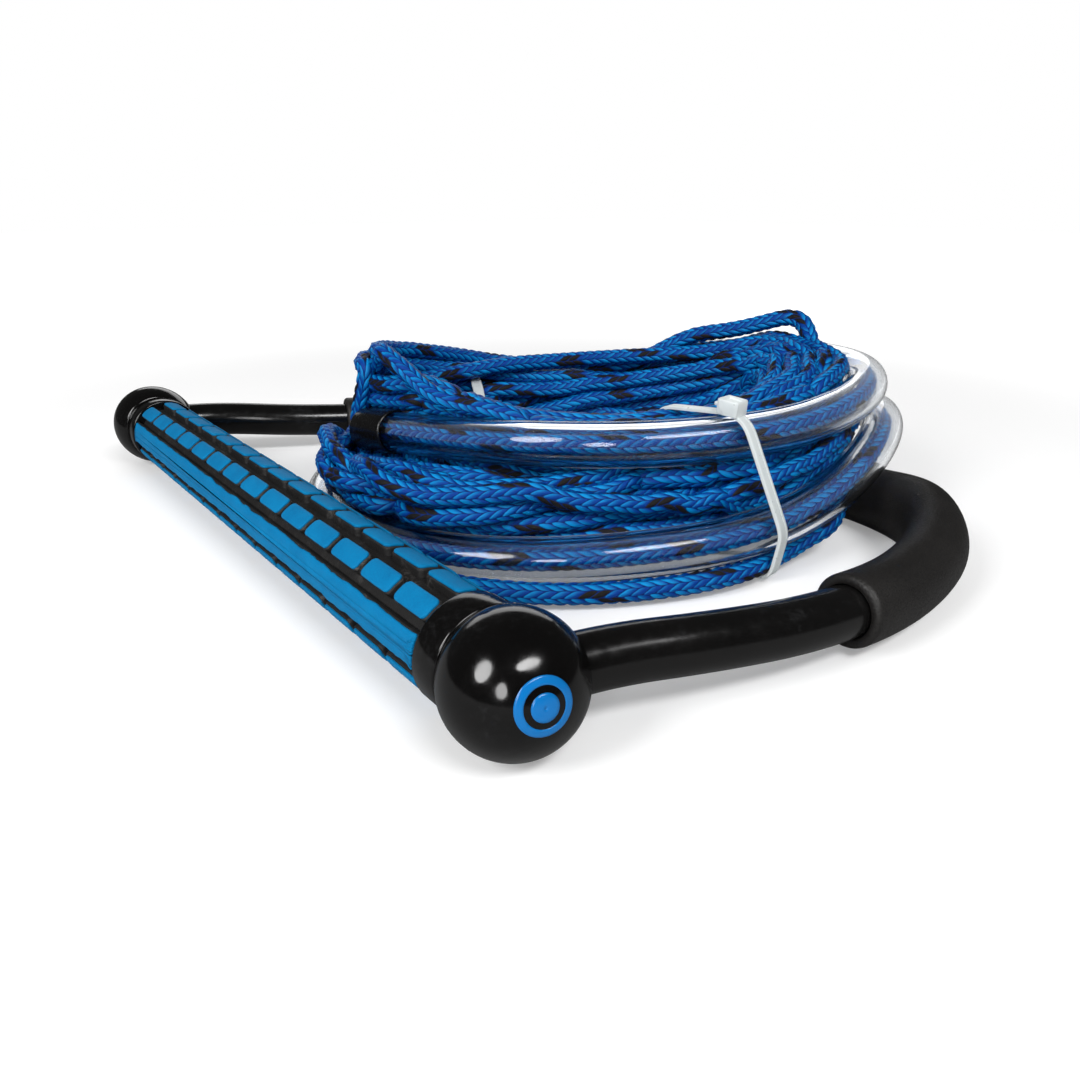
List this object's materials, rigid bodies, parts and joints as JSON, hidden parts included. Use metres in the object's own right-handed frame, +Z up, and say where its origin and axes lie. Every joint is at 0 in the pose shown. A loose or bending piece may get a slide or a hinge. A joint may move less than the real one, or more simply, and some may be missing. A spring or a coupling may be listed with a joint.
{
  "type": "tow rope handle",
  "caption": "Tow rope handle with a padded grip bar that turns in its end balls, a rope bridle in a foam float, and a coiled main line bound with cable ties.",
  "frame": {"origin": "on the ground, under the middle of the handle and its bridle (main line not counted)", "axes": "+Z up, +Y along the grip bar towards its far ball, +X from the bar towards the bridle's float"},
  "size_m": [0.2845, 0.3502, 0.0829],
  "materials": {
    "bar_metal": "satin",
    "grip_rubber": "matt",
    "grip_skin": "matt, suede-like",
    "gloss_shell": "gloss",
    "guide_plastic": "matt",
    "bush_plastic": "matt",
    "badge": "gloss",
    "rope": "braided, slightly shiny",
    "sleeve_vinyl": "gloss",
    "foam": "fine closed-cell foam",
    "clear_vinyl": "clear, flexible",
    "cap_rubber": "semi-gloss",
    "tie_nylon": "translucent, semi-gloss"
  },
  "bodies": {
    "bridle": {"ball_near": "gloss_shell", "ball_far": "gloss_shell", "ball_core_near": "guide_plastic", "ball_core_far": "guide_plastic", "ball_badge_near": "badge", "ball_badge_far": "badge", "end_bush_near": "bush_plastic", "end_bush_far": "bush_plastic", "thrust_washer_near": "bush_plastic", "thrust_washer_far": "bush_plastic", "bridle_rope": "rope", "bridle_splice": "rope", "sleeve_near": "sleeve_vinyl", "sleeve_far": "sleeve_vinyl", "float": "foam", "float_outlet": "cap_rubber", "trunk_tube": "clear_vinyl", "trunk_rope": "rope", "trunk_cap_inner": "cap_rubber", "trunk_cap_outer": "cap_rubber", "trunk_splice": "rope", "lead_rope": "rope", "main_line": "rope", "tow_loop": "rope", "tie_right": "tie_nylon", "tie_left": "tie_nylon"},
    "bar": {"bar_tube": "bar_metal", "grip_sleeve": "grip_rubber", "palm_strip_1": "grip_skin", "palm_strip_2": "grip_skin", "collar_near": "gloss_shell", "collar_far": "gloss_shell", "pad_row_1": "grip_skin", "pad_row_2": "grip_skin", "pad_row_3": "grip_skin", "pad_row_4": "grip_skin", "pad_row_5": "grip_skin", "pad_row_6": "grip_skin"}
  },
  "joints": [
    {"name": "bar_roll", "type": "hinge", "parent": "bridle", "child": "bar", "pos_m": [-0.10227, 0.00911, 0.0185], "axis": [0, 1, 0], "continuous": true}
  ]
}
